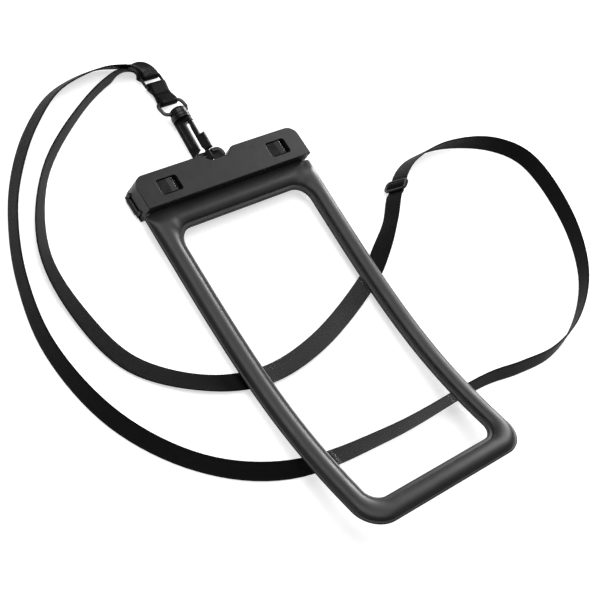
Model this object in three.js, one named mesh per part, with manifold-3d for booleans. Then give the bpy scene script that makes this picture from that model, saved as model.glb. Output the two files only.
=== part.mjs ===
// Waterproof phone pouch with a clamp clip, a swivel snap hook and a neck strap, in millimetres.
// +X runs across the pouch, +Y from the pouch towards the hook, +Z up. The origin is the centre
// of the clip's back face, which lies on the ground with the pouch's belly; the window faces up.
import * as THREE from 'three';
import { mergeVertices } from 'three/addons/utils/BufferGeometryUtils.js';
import Module from 'manifold-3d';

// Clip: a rear bar and a front cover that clamp the pouch's neck between two gaskets
const CLIP_W = 110.2;
const CLIP_H = 18.7;
const CLIP_T = 13.15;
const CLIP_CORNER_LOW = 6;
const CLIP_CORNER_TOP = 7;
const CLIP_LOWER_CORNER = 0.5;
const CLIP_BEVEL = 0.35;
const BAR_EDGE_T = 3.8;
const BAR_T = 5.25;
const COVER_FLOOR_Z = 7.9;
const END_WALL_T = 2.5;
const NOTCH_TOP_W = 21;
const NOTCH_BOTTOM_W = 10.2;
const NOTCH_DEPTH = 4.45;
const GAP = 0.3;
const SEAT = 0.05;

// Gaskets in the two halves of the clip
const GASKET_L = 98;
const GASKET_W = 3;
const GASKET_Y = -3.5;
const GASKET_GROOVE = 0.5;
const GASKET_PROUD = 0.3;

// Latches: sliding buttons in two windows of the cover, with a tongue that goes under a catch
const LATCH_X = [-CLIP_W / 2 + 18.3, CLIP_W / 2 - 17.9];
const LATCH_Y = -0.4;
const LATCH_WINDOW_W = 13.35;
const LATCH_WINDOW_H = 9;
const LATCH_WINDOW_R = 1.6;
const BUTTON_W = 10.85;
const BUTTON_GAP = 0.55;
const BUTTON_DEPTH = 0.15;
const BUTTON_RAMP = 0.3;
const BUTTON_END_DROP = 2.2;
const FLANGE_LIP = 1.5;
const FLANGE_LIP_Y = 0.6;
const FLANGE_T = 1.7;
const LATCH_TRAVEL = 1.7;
const POCKET_FLOOR_T = 0.6;
const POCKET_H = 2.4;
const TONGUE_L = 0.9;
const TONGUE_T = 0.8;
const CATCH_T = 1.2;
const CATCH_LEAN = 1.6;
const CATCH_OVER = 0.9;
const CATCH_ROOM = 1.1;

// Hinge of the cover at the clip's left end
const HINGE_R = 1.7;
const HINGE_OUT = -0.1;
const HINGE_Z = 1.9;
const HINGE_BARREL_L = 8.3;
const HINGE_EAR_L = 1.8;
const HINGE_EAR_R = 1.3;
const HINGE_Y = -0.67;
const HINGE_SLOT_H = 1;
const HINGE_SLOT_DEPTH = 1.2;
const PIN_R = 0.75;
const PIN_CLEARANCE = 0.1;

// Lug of the rear bar: a loop with a waist where the hook sits
const LUG_X0 = -9.3;
const LUG_X1 = 8.6;
const LUG_REACH = 4.05;
const LUG_WALL = 2.2;
const LUG_CORNER = 4;
const LUG_Z0 = 1;
const LUG_Z1 = 9;
const WAIST_X1 = 1.8;
const WAIST_T = 1.8;

// Pouch: two padded frames, welded round a pocket, each with a clear window
const POUCH_W = 113;
const POUCH_L = 195.5;
const POUCH_CORNER = 15;
const NECK_W = 103;
const NECK_IN = 12;
const NECK_T = 0.6;
const SEAM_GAP = 0.3;
const RIM_W = 13.05;
const RIM_TOP = 13.65;
const RIM_BOTTOM = 13;
const RIM_H = 3.4;
const WELD_W = 1.2;
const WELD_H = 0.5;
const LAND_W = 2.4;
const LAND_H = 0.95;
const RIM_RISE = 8;
const SHOULDER_S = 0.4;
const WINDOW_TOP_R = 9;
const WINDOW_BOTTOM_R = 8;
const FILM_MID = 0.45;
const FILM_T = 0.35;

// Posture: the pouch leaves the clip a little downwards, and its lower end curls up
const POUCH_Z = 6.575;
const DIP = -2.75;
const CURL = 27.94;
const CURL_FROM_END = 58.8;
const CURL_SPREAD = 60.6;
const BEND_START = 8;

// Snap hook, along the pouch's length, turned about its own axis and a little to the right
const HOOK_ROLL = 50;
const HOOK_YAW = -4.2;
const HOOK_X = -3.82;
const HOOK_Z = 5.4;
const HOOK_W = 9.8;
const HOOK_T = 4.2;
const HOOK_TOE_T = 2.4;
const HOOK_END = 7.2;
const HOOK_BAR = 3;
const HOOK_TOE_TOP = 13.35;
const HOOK_SPINE_W = 5.5;
const HOOK_EYE_W = 5.1;
const HOOK_EYE_TOP = 13.2;
const HOOK_THIN_TOP = 16.2;
const HOOK_SLOT_TOP = 32.4;
const HOOK_SLOT_W = 1.5;
const COLLAR_Y = 35.05;
const COLLAR_H = 2.8;
const COLLAR_R = 5.2;
const GATE_TAB = 2.3;
const GATE_TAB_TOP = 22.9;
const GATE_INSET = 0.15;
const GATE_T = 3;
const GATE_ROOT_R = 1.25;
const GATE_ROOT_Y = 31.2;

// Swivel head, with the cross hole that the ring passes through
const HEAD_R = 4.8;
const HEAD_H = 4.2;
const HEAD_HOLE_R = 1.75;
const HEAD_HOLE_UP = 2.1;
const STEM_R = 1.5;
const STEM_L = 4.6;

// Ring, short link of webbing, and the loop that the neck strap is folded round
const RING_W = 17.8;
const RING_ASIDE = -0.5;
const RING_L = 10.75;
const RING_WIRE_R = 1;
const RING_TILT = 11;
const RING_SQUARE = 4;
const WEB_W = 10.4;
const WEB_T = 0.8;
const WEB_GAP = 0.45;
const LINK_Y1 = 59.8;
const LINK_FAR_Z = 3.1;
const LOOP_W = 13.4;
const LOOP_SIDE = 1;
const LOOP_ASIDE = -0.45;
const LOOP_L = 8.4;
const LOOP_BAR = 1.7;
const LOOP_T = 1.7;
const LOOP_BEVEL = 0.45;

// Neck strap: one flat band on the ground, from the slide round to the loop and back. Its points
// are x, y, the lean from flat in degrees and the room under its lower edge. The outer run goes
// from the loop round the pouch's lower end to the slide, and the inner run from there back.
const STRAP_W = 10;
const STRAP_T = 0.8;
const STRAP_FOLD = 0.35;
const STRAP_STEPS = 5;
const OUTER_RUN = [
  [-3.8, 70.2, 2, 4.4], [-9, 72.8, 42, 2], [-15.6, 74.9, 66, 0.4], [-29.5, 77.3, 63, 0.3],
  [-59.3, 71.7, 64, 0.3], [-83, 56.3, 64, 0.3], [-103, 36.3, 70, 0.3], [-118.7, 13.8, 80, 0.3],
  [-132.4, -18.3, 82, 0.3], [-138.2, -54.6, 76, 0.3], [-128.4, -97.3, 64, 0.3], [-101.6, -132.4, 60, 0.3],
  [-60.3, -154.6, 42, 0.3], [3, -161.9, 58, 0.3], [76.9, -161.1, 66, 0.3],
  [103, -164.1, 66, 0.3], [130.4, -164.8, 72, 0.3], [160.6, -155.5, 84, 0.3], [188.5, -133.2, 92, 0.3],
  [204.8, -98.2, 104, 0.3], [205.3, -56.8, 118, 0.3], [188.5, -39.9, 112, 0.3], [152.5, -29.3, 86, 0.3],
  [122.3, -31.2, 66, 0.8], [105.8, -38.8, 60, 3],
];
const INNER_RUN = [
  [93.8, -47.9, 60, 3], [83.5, -59.3, 60, 0.8], [67, -72.6, 28, 0.4], [53, -82.2, 3, 0.3],
  [-2.1, -103.3, 4, 0.2], [-41.9, -107.4, 5, 0.2], [-75, -97.7, 12, 0.3], [-102.9, -75.1, 3, 0.3],
  [-113, -46, 11, 0.3], [-113.3, -8.9, 35, 0.3], [-91.3, 29.1, 60, 0.3], [-51, 58.7, 75, 0.3],
  [-24.5, 70.4, 84, 0.3], [-13.5, 72.3, 136, 0.3], [-6.6, 72.2, 180, 0.8],
];
const SLIDE_W = 14.6;
const SLIDE_CORNER = 3;
const SLIDE_L = 8.4;
const SLIDE_T = 1.6;
const SLIDE_BAR = 1.2;
const SLIDE_DROP = 0.9;
const SLIDE_BEVEL = 0.35;

const rad = THREE.MathUtils.degToRad;
const wasm = await Module();
wasm.setup();

// Solids and booleans

function solid(geometry) {
  const bare = geometry.clone();
  bare.deleteAttribute('normal');
  bare.deleteAttribute('uv');
  const merged = mergeVertices(bare, 1e-4);
  return new wasm.Manifold(new wasm.Mesh({
    numProp: 3,
    vertProperties: new Float32Array(merged.attributes.position.array),
    triVerts: new Uint32Array(merged.index.array),
  }));
}

function geometryOf(body) {
  const mesh = body.getMesh();
  const geometry = new THREE.BufferGeometry();
  geometry.setAttribute('position', new THREE.BufferAttribute(new Float32Array(mesh.vertProperties), 3));
  geometry.setIndex(new THREE.BufferAttribute(new Uint32Array(mesh.triVerts), 1));
  return geometry;
}

function join(bodies) {
  return bodies.reduce((whole, body) => whole.add(body));
}

function cut(body, tools) {
  return tools.reduce((rest, tool) => rest.subtract(tool), body);
}

function box(x0, x1, y0, y1, z0, z1) {
  const geometry = new THREE.BoxGeometry(x1 - x0, y1 - y0, z1 - z0);
  geometry.translate((x0 + x1) / 2, (y0 + y1) / 2, (z0 + z1) / 2);
  return solid(geometry);
}

function extruded(shape, z0, z1, bevel = 0, curveSegments = 5) {
  const geometry = new THREE.ExtrudeGeometry(shape, {
    depth: z1 - z0 - 2 * bevel,
    bevelEnabled: bevel > 0,
    bevelThickness: bevel,
    bevelSize: bevel,
    bevelOffset: -bevel,
    bevelSegments: 1,
    curveSegments,
  });
  geometry.translate(0, 0, z0 + bevel);
  return geometry;
}

// A rod along Y
function rod(radius, y0, y1, x, z, segments = 20) {
  const geometry = new THREE.CylinderGeometry(radius, radius, y1 - y0, segments);
  geometry.translate(x, (y0 + y1) / 2, z);
  return solid(geometry);
}

function roundedRect(x0, x1, y0, y1, lowerRadius, upperRadius = lowerRadius) {
  const shape = new THREE.Shape();
  shape.moveTo(x0 + lowerRadius, y0);
  shape.lineTo(x1 - lowerRadius, y0);
  shape.absarc(x1 - lowerRadius, y0 + lowerRadius, lowerRadius, -Math.PI / 2, 0);
  shape.lineTo(x1, y1 - upperRadius);
  shape.absarc(x1 - upperRadius, y1 - upperRadius, upperRadius, 0, Math.PI / 2);
  shape.lineTo(x0 + upperRadius, y1);
  shape.absarc(x0 + upperRadius, y1 - upperRadius, upperRadius, Math.PI / 2, Math.PI);
  shape.lineTo(x0, y0 + lowerRadius);
  shape.absarc(x0 + lowerRadius, y0 + lowerRadius, lowerRadius, Math.PI, Math.PI * 1.5);
  return shape;
}

// A closed body through equal rings of points; a closed row joins its last ring to its first
function loft(rings, closedRow = false) {
  const count = rings[0].length;
  const position = rings.flat().flatMap((point) => [point.x, point.y, point.z]);
  const index = [];
  const rows = closedRow ? rings.length : rings.length - 1;
  for (let i = 0; i < rows; i += 1) {
    const near = i * count;
    const far = ((i + 1) % rings.length) * count;
    for (let j = 0; j < count; j += 1) {
      const next = (j + 1) % count;
      index.push(near + j, far + j, near + next);
      index.push(near + next, far + j, far + next);
    }
  }
  if (!closedRow) {
    const last = (rings.length - 1) * count;
    for (let j = 1; j < count - 1; j += 1) {
      index.push(0, j, j + 1);
      index.push(last, last + j + 1, last + j);
    }
  }
  const geometry = new THREE.BufferGeometry();
  geometry.setAttribute('position', new THREE.Float32BufferAttribute(position, 3));
  geometry.setIndex(index);
  return outward(geometry);
}

// Turns every face round where a closed body's volume comes out negative
function outward(geometry) {
  const position = geometry.attributes.position;
  const index = geometry.index.array;
  const corner = [new THREE.Vector3(), new THREE.Vector3(), new THREE.Vector3()];
  let volume = 0;
  for (let i = 0; i < index.length; i += 3) {
    corner.forEach((point, k) => point.fromBufferAttribute(position, index[i + k]));
    volume += corner[0].dot(corner[1].clone().cross(corner[2]));
  }
  if (volume < 0) {
    for (let i = 0; i < index.length; i += 3) {
      [index[i], index[i + 1]] = [index[i + 1], index[i]];
    }
  }
  return geometry;
}

// Pouch's mid surface: height and place at a distance from the clip's lower edge

const CLIP_LOW_Y = -CLIP_H / 2;
const POSTURE_STEP = 0.5;

function slopeAt(distance) {
  const curlMid = POUCH_L - CURL_FROM_END;
  const wave = 0.5 * (1 + Math.tanh((distance - curlMid) / CURL_SPREAD));
  const start = THREE.MathUtils.smoothstep(distance, 0, BEND_START);
  return rad(DIP + CURL * wave) * start;
}

function postureTable() {
  const table = [{ y: CLIP_LOW_Y, z: POUCH_Z }];
  for (let s = 0; s < POUCH_L + POSTURE_STEP; s += POSTURE_STEP) {
    const slope = slopeAt(s + POSTURE_STEP / 2);
    const last = table[table.length - 1];
    table.push({
      y: last.y - POSTURE_STEP * Math.cos(slope),
      z: last.z + POSTURE_STEP * Math.sin(slope),
    });
  }
  return table;
}

const posture = postureTable();

// x across, s along from the clip's lower edge (negative inside the clip), h off the mid surface
function bent(x, s, h) {
  if (s <= 0) {
    return new THREE.Vector3(x, CLIP_LOW_Y - s, POUCH_Z + h);
  }
  const step = Math.min(Math.floor(s / POSTURE_STEP), posture.length - 2);
  const part = s / POSTURE_STEP - step;
  const slope = slopeAt(s);
  const y = THREE.MathUtils.lerp(posture[step].y, posture[step + 1].y, part);
  const z = THREE.MathUtils.lerp(posture[step].z, posture[step + 1].z, part);
  return new THREE.Vector3(x, y + h * Math.sin(slope), z + h * Math.cos(slope));
}

// Frames: a row of pairs, a point on the outer outline and its partner on the window's outline

function arcPairs(centreOuter, rOuter, centreInner, rInner, from, to, steps) {
  const pairs = [];
  for (let i = 1; i <= steps; i += 1) {
    const a = THREE.MathUtils.lerp(from, to, i / steps);
    const turn = [Math.cos(a), -Math.sin(a)];
    pairs.push({
      outer: [centreOuter[0] + rOuter * turn[0], centreOuter[1] + rOuter * turn[1]],
      inner: [centreInner[0] + rInner * turn[0], centreInner[1] + rInner * turn[1]],
    });
  }
  return pairs;
}

function linePairs(outer0, outer1, inner0, inner1, steps) {
  const pairs = [];
  for (let i = 1; i <= steps; i += 1) {
    const k = i / steps;
    pairs.push({
      outer: [THREE.MathUtils.lerp(outer0[0], outer1[0], k), THREE.MathUtils.lerp(outer0[1], outer1[1], k)],
      inner: [THREE.MathUtils.lerp(inner0[0], inner1[0], k), THREE.MathUtils.lerp(inner0[1], inner1[1], k)],
    });
  }
  return pairs;
}

// The left half of the outline from the middle of the neck to the middle of the lower end
function frameHalf() {
  const side = POUCH_W / 2;
  const neck = NECK_W / 2;
  const windowSide = side - RIM_W;
  const windowLow = POUCH_L - RIM_BOTTOM;
  const topArcX = windowSide - WINDOW_TOP_R;
  const topArcS = RIM_TOP + WINDOW_TOP_R;
  const shoulder = [
    [neck - 5, -NECK_IN], [neck, -NECK_IN], [neck, -NECK_IN / 2], [neck, SHOULDER_S],
    [side - 1, SHOULDER_S + 0.2], [side, SHOULDER_S + 1.2], [side, (SHOULDER_S + topArcS) / 2],
    [side, topArcS],
  ];
  const pairs = [{ outer: [0, -NECK_IN], inner: [0, RIM_TOP] }];
  pairs.push(...linePairs([0, -NECK_IN], [topArcX, -NECK_IN], [0, RIM_TOP], [topArcX, RIM_TOP], 3));
  shoulder.forEach((outer, i) => {
    const a = (Math.PI / 2) * ((i + 1) / shoulder.length);
    const inner = [topArcX + WINDOW_TOP_R * Math.sin(a), topArcS - WINDOW_TOP_R * Math.cos(a)];
    pairs.push({ outer, inner });
  });
  const outerArcS = POUCH_L - POUCH_CORNER;
  const innerArcS = windowLow - WINDOW_BOTTOM_R;
  const [top, low] = [[side, topArcS], [side, outerArcS]];
  pairs.push(...linePairs(top, low, [windowSide, topArcS], [windowSide, innerArcS], 16));
  pairs.push(...arcPairs(
    [side - POUCH_CORNER, outerArcS],
    POUCH_CORNER,
    [windowSide - WINDOW_BOTTOM_R, innerArcS],
    WINDOW_BOTTOM_R,
    0,
    -Math.PI / 2,
    6,
  ));
  const corner = [side - POUCH_CORNER, POUCH_L];
  const arcEnd = [windowSide - WINDOW_BOTTOM_R, windowLow];
  pairs.push(...linePairs(corner, [0, POUCH_L], arcEnd, [0, windowLow], 3));
  return pairs;
}

function framePairs() {
  const half = frameHalf();
  const mirrored = half.slice(1, -1).reverse().map((pair) => ({
    outer: [-pair.outer[0], pair.outer[1]],
    inner: [-pair.inner[0], pair.inner[1]],
  }));
  return [...half, ...mirrored];
}

// A padded rim between its weld and its land, as shares of the puff's width and height
const PUFF = [[0.04, 0.36], [0.13, 0.68], [0.3, 0.93], [0.5, 1], [0.7, 0.93], [0.87, 0.68], [0.96, 0.36]];

// Pairs of a depth from the outer edge and a height off the mid surface, across a rim of a width
function rimProfile(width) {
  const puffW = width - WELD_W - LAND_W;
  const puff = PUFF.map(([across, up]) => [WELD_W + across * puffW, LAND_H + up * (RIM_H - LAND_H)]);
  return [[0, WELD_H], [WELD_W, WELD_H], ...puff, [width - LAND_W, LAND_H], [width, LAND_H]];
}

function frame(side) {
  const base = SEAM_GAP / 2;
  const rings = framePairs().map(({ outer, inner }) => {
    const width = Math.hypot(outer[0] - inner[0], outer[1] - inner[1]);
    const at = (depth, height) => {
      const x = THREE.MathUtils.lerp(outer[0], inner[0], depth / width);
      const s = THREE.MathUtils.lerp(outer[1], inner[1], depth / width);
      const rise = THREE.MathUtils.smoothstep(s, 0, RIM_RISE);
      return bent(x, s, side * THREE.MathUtils.lerp(Math.min(height, base + NECK_T), height, rise));
    };
    const seam = [inner, outer].map(([x, s]) => bent(x, s, side * base));
    return [...rimProfile(width).map(([depth, height]) => at(depth, height)), ...seam];
  });
  return loft(rings, true);
}

// A clear film just inside the frame's window, as rows of four corners
function film(side) {
  const halfW = POUCH_W / 2 - RIM_W - GAP;
  const top = RIM_TOP + GAP;
  const low = POUCH_L - RIM_BOTTOM - GAP;
  const rows = [];
  const arcSteps = 5;
  for (let i = 0; i <= arcSteps; i += 1) {
    const a = (Math.PI / 2) * (i / arcSteps);
    rows.push([halfW - WINDOW_TOP_R * (1 - Math.sin(a)), top + WINDOW_TOP_R * (1 - Math.cos(a))]);
  }
  const straight = 16;
  for (let i = 1; i < straight; i += 1) {
    rows.push([halfW, THREE.MathUtils.lerp(top + WINDOW_TOP_R, low - WINDOW_BOTTOM_R, i / straight)]);
  }
  for (let i = arcSteps; i >= 0; i -= 1) {
    const a = (Math.PI / 2) * (i / arcSteps);
    rows.push([halfW - WINDOW_BOTTOM_R * (1 - Math.sin(a)), low - WINDOW_BOTTOM_R * (1 - Math.cos(a))]);
  }
  const near = side * (FILM_MID - FILM_T / 2);
  const far = side * (FILM_MID + FILM_T / 2);
  return loft(rows.map(([x, s]) => [bent(-x, s, near), bent(x, s, near), bent(x, s, far), bent(-x, s, far)]));
}

// Clip

const CLIP_X = CLIP_W / 2;
const CLIP_Y = CLIP_H / 2;
const HINGE_X = -CLIP_X - HINGE_OUT;
const EAR_INSET = 0.9;

function clipOutline(inset = 0) {
  const x = CLIP_X - inset;
  const y = CLIP_Y - inset;
  const r = CLIP_CORNER_LOW;
  const low = CLIP_LOWER_CORNER;
  const notchTop = NOTCH_TOP_W / 2 + inset;
  const notchLow = NOTCH_BOTTOM_W / 2 + inset / 2;
  const notchY = y - NOTCH_DEPTH;
  const shape = new THREE.Shape();
  shape.moveTo(-x + low, -y);
  shape.lineTo(x - low, -y);
  shape.absarc(x - low, -y + low, low, -Math.PI / 2, 0);
  shape.lineTo(x, y - r);
  shape.absarc(x - r, y - r, r, 0, Math.PI / 2);
  shape.lineTo(notchTop + 2, y);
  shape.quadraticCurveTo(notchTop, y, notchTop - 1, y - 0.9);
  shape.lineTo(notchLow + 1.1, notchY + 0.8);
  shape.quadraticCurveTo(notchLow, notchY, notchLow - 1.2, notchY);
  shape.lineTo(-notchLow + 1.2, notchY);
  shape.quadraticCurveTo(-notchLow, notchY, -notchLow - 1.1, notchY + 0.8);
  shape.lineTo(-notchTop + 1, y - 0.9);
  shape.quadraticCurveTo(-notchTop, y, -notchTop - 2, y);
  shape.lineTo(-x + r, y);
  shape.absarc(-x + r, y - r, r, Math.PI / 2, Math.PI);
  shape.lineTo(-x, -y + low);
  shape.absarc(-x + low, -y + low, low, Math.PI, Math.PI * 1.5);
  return shape;
}

// The clip's corners widen towards the face: this block trims them
function cornerTrim() {
  const ring = (z, radius) => {
    const outline = roundedRect(-CLIP_X, CLIP_X, -CLIP_Y, CLIP_Y, CLIP_LOWER_CORNER, radius);
    return outline.getPoints(6).slice(0, -1).map((point) => new THREE.Vector3(point.x, point.y, z));
  };
  return solid(loft([ring(0, CLIP_CORNER_LOW), ring(CLIP_T, CLIP_CORNER_TOP)]));
}

// Catch: a post that leans over a latch's tongue once the latch has slid under it
const POCKET_Z0 = COVER_FLOOR_Z + POCKET_FLOOR_T;
const POCKET_Z1 = POCKET_Z0 + POCKET_H;
const FLANGE_Y0 = LATCH_Y - LATCH_WINDOW_H / 2 - FLANGE_LIP_Y;
const FLANGE_Y1 = LATCH_Y + LATCH_WINDOW_H / 2 + FLANGE_LIP_Y;
const TONGUE_Z0 = POCKET_Z0 + GAP;
const CATCH_TOP = TONGUE_Z0 + TONGUE_T + CATCH_OVER;
const CATCH_SLOPE = CATCH_LEAN / (CATCH_TOP - BAR_T);
const CATCH_ROOT_Y = FLANGE_Y1 + TONGUE_L + 1.2 * GAP + CATCH_SLOPE * (TONGUE_Z0 - BAR_T);
const CATCH_TIP_Y = CATCH_ROOT_Y - CATCH_LEAN;
const BUTTON_X0 = -LATCH_WINDOW_W / 2 + BUTTON_GAP;
const BUTTON_X1 = BUTTON_X0 + BUTTON_W;
const TONGUE_X1 = BUTTON_X1 + FLANGE_LIP;
const CATCH_X0 = TONGUE_X1 + GAP;
const CATCH_X1 = TONGUE_X1 + LATCH_TRAVEL;
const POCKET_X1 = CATCH_X1 + CATCH_ROOM;

// A bar from x0 to x1 whose long side leans: y1 falls by the catch's slope from z0 to z1
function leaning(x0, x1, y0, y1, z0, z1, foot = 0) {
  const shift = CATCH_SLOPE * (z1 - z0);
  const quad = (z, low, high) => [[x0, low], [x1, low], [x1, high], [x0, high]]
    .map(([x, y]) => new THREE.Vector3(x, y, z));
  return solid(loft([quad(z0, y0, y1), quad(z1, y0 - foot * shift, y1 - shift)]));
}

function catchPost(x) {
  const z0 = BAR_T - 0.5;
  const y0 = CATCH_ROOT_Y + CATCH_SLOPE * (BAR_T - z0);
  return leaning(x + CATCH_X0, x + CATCH_X1, y0, y0 + CATCH_T, z0, CATCH_TOP, 1);
}

// Lug: a rounded loop out of the notch, cut to a waist where the hook's eye passes round it
function lug() {
  const y0 = CLIP_Y - NOTCH_DEPTH - 1.5;
  const y1 = CLIP_Y + LUG_REACH;
  const outer = roundedRect(LUG_X0, LUG_X1, y0, y1, 0.5, LUG_CORNER);
  const innerR = LUG_CORNER - LUG_WALL + 0.6;
  const hole = roundedRect(LUG_X0 + LUG_WALL, LUG_X1 - LUG_WALL, y0 + 0.6, y1 - LUG_WALL, 0.3, innerR);
  const loop = solid(extruded(outer, LUG_Z0, LUG_Z1, 0.4)).subtract(solid(extruded(hole, 0, CLIP_T)));
  const waistX0 = LUG_X0 + LUG_WALL - GAP;
  const waistY0 = CLIP_Y - 1.5;
  const over = box(waistX0, WAIST_X1, waistY0, y1 + 1, HOOK_Z + WAIST_T / 2, CLIP_T);
  const under = box(waistX0, WAIST_X1, waistY0, y1 + 1, -1, HOOK_Z - WAIST_T / 2);
  const coverRoom = solid(extruded(clipOutline(-GAP), COVER_FLOOR_Z - GAP, CLIP_T + 1));
  return cut(loop, [over, under, coverRoom]);
}

function rearBar() {
  const plate = solid(extruded(clipOutline(), 0, BAR_EDGE_T, CLIP_BEVEL));
  const raisedX = CLIP_X - END_WALL_T - GAP;
  const raised = solid(extruded(clipOutline(0.6), 1, BAR_T, 0.3))
    .intersect(box(-raisedX, raisedX, -CLIP_Y, CLIP_Y, 0, CLIP_T));
  const half = GASKET_W / 2;
  const groove = box(
    -GASKET_L / 2,
    GASKET_L / 2,
    GASKET_Y - half,
    GASKET_Y + half,
    BAR_T - GASKET_GROOVE,
    CLIP_T,
  );
  const barrelY0 = HINGE_Y - HINGE_BARREL_L / 2;
  const barrelY1 = HINGE_Y + HINGE_BARREL_L / 2;
  const barrel = rod(HINGE_R, barrelY0, barrelY1, HINGE_X, HINGE_Z);
  const earReach = HINGE_BARREL_L / 2 + HINGE_EAR_L + 2 * GAP;
  const earLow = HINGE_Y - earReach;
  const earHigh = HINGE_Y + earReach;
  const earRoom = rod(HINGE_EAR_R + GAP, earLow, earHigh, HINGE_X, HINGE_Z)
    .add(box(HINGE_X - HINGE_R, -CLIP_X + EAR_INSET + GAP, earLow, earHigh, HINGE_Z, CLIP_T));
  const pinHole = rod(PIN_R + PIN_CLEARANCE, HINGE_Y - CLIP_Y, HINGE_Y + CLIP_Y, HINGE_X, HINGE_Z);
  const notchHole = solid(extruded(
    roundedRect(LUG_X0 + LUG_WALL, LUG_X1 - LUG_WALL, CLIP_Y - NOTCH_DEPTH, CLIP_Y + 2, 0.3, 0.3),
    -1,
    CLIP_T,
  ));
  const bars = cut(join([plate, raised]).intersect(cornerTrim()), [groove, earRoom, notchHole]);
  return geometryOf(cut(join([bars, lug(), barrel, ...LATCH_X.map(catchPost)]), [pinHole]));
}

function latchPocket(x) {
  const halfW = LATCH_WINDOW_W / 2;
  const window = roundedRect(
    x - halfW,
    x + halfW,
    LATCH_Y - LATCH_WINDOW_H / 2,
    LATCH_Y + LATCH_WINDOW_H / 2,
    LATCH_WINDOW_R,
  );
  const x1 = x + POCKET_X1;
  const y1 = CATCH_ROOT_Y + CATCH_T - CATCH_SLOPE * (COVER_FLOOR_Z - BAR_T) + GAP;
  const pocket = box(x + BUTTON_X0 - FLANGE_LIP - GAP, x1, FLANGE_Y0 - GAP, y1, POCKET_Z0, POCKET_Z1);
  const hole = box(x + CATCH_X0 - GAP, x1, CATCH_TIP_Y - GAP, y1, COVER_FLOOR_Z - 1, POCKET_Z1);
  return [solid(extruded(window, POCKET_Z0, CLIP_T + 1)), pocket, hole];
}

function frontCover() {
  const plate = solid(extruded(clipOutline(), COVER_FLOOR_Z - CLIP_BEVEL, CLIP_T, CLIP_BEVEL))
    .intersect(box(-CLIP_W, CLIP_W, -CLIP_H, CLIP_H, COVER_FLOOR_Z, CLIP_T + 1));
  const skirtZ = BAR_EDGE_T + GAP;
  const skirt = solid(extruded(clipOutline(), skirtZ, CLIP_T - 2)).subtract(
    box(-CLIP_X + END_WALL_T, CLIP_X - END_WALL_T, -CLIP_H, CLIP_H, 0, CLIP_T),
  );
  const ears = [-1, 1].map((end) => {
    const inner = HINGE_Y + end * (HINGE_BARREL_L / 2 + GAP);
    const outer = inner + end * HINGE_EAR_L;
    const [y0, y1] = [Math.min(inner, outer), Math.max(inner, outer)];
    const ring = rod(HINGE_EAR_R, y0, y1, HINGE_X, HINGE_Z);
    const web = box(HINGE_X - 0.9, -CLIP_X + EAR_INSET, y0, y1, HINGE_Z, skirtZ + 1.2);
    return ring.add(web);
  });
  const half = GASKET_W / 2;
  const groove = box(
    -GASKET_L / 2,
    GASKET_L / 2,
    GASKET_Y - half,
    GASKET_Y + half,
    0,
    COVER_FLOOR_Z + GASKET_GROOVE,
  );
  const barrelRoom = rod(
    HINGE_R + GAP,
    HINGE_Y - HINGE_BARREL_L / 2 - GAP,
    HINGE_Y + HINGE_BARREL_L / 2 + GAP,
    HINGE_X,
    HINGE_Z,
  );
  const pinHole = rod(PIN_R + PIN_CLEARANCE, HINGE_Y - CLIP_Y, HINGE_Y + CLIP_Y, HINGE_X, HINGE_Z);
  const slot = box(
    -CLIP_X - 1,
    -CLIP_X + HINGE_SLOT_DEPTH,
    HINGE_Y - HINGE_BARREL_L / 2 - GAP,
    HINGE_Y + HINGE_BARREL_L / 2 + GAP,
    0,
    skirtZ + HINGE_SLOT_H,
  );
  const body = join([plate, skirt]).intersect(cornerTrim());
  const rooms = [groove, barrelRoom, slot, pinHole, ...LATCH_X.flatMap(latchPocket)];
  return geometryOf(cut(join([body, ...ears]), rooms));
}

function hingePin() {
  const half = HINGE_BARREL_L / 2 + GAP + HINGE_EAR_L;
  return geometryOf(rod(PIN_R, HINGE_Y - half, HINGE_Y + half, HINGE_X, HINGE_Z));
}

// A gasket strip with a crowned face towards the pouch's neck
function gasket(z0, z1, crownUp) {
  const half = GASKET_W / 2 - SEAT;
  const proud = crownUp ? z1 : z0;
  const root = crownUp ? z0 : z1;
  const shape = new THREE.Shape();
  shape.moveTo(-half, root);
  shape.lineTo(half, root);
  shape.lineTo(half, proud + (root - proud) * 0.35);
  shape.quadraticCurveTo(0, proud - (root - proud) * 0.3, -half, proud + (root - proud) * 0.35);
  const geometry = new THREE.ExtrudeGeometry(shape, {
    depth: GASKET_L - 2 * SEAT,
    bevelEnabled: false,
    curveSegments: 4,
  });
  geometry.rotateX(Math.PI / 2);
  geometry.rotateZ(Math.PI / 2);
  geometry.translate(-GASKET_L / 2 + SEAT, GASKET_Y, 0);
  return outward(mergeVertices(stripped(geometry)));
}

function stripped(geometry) {
  const bare = geometry.clone();
  bare.deleteAttribute('normal');
  bare.deleteAttribute('uv');
  return bare;
}

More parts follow.
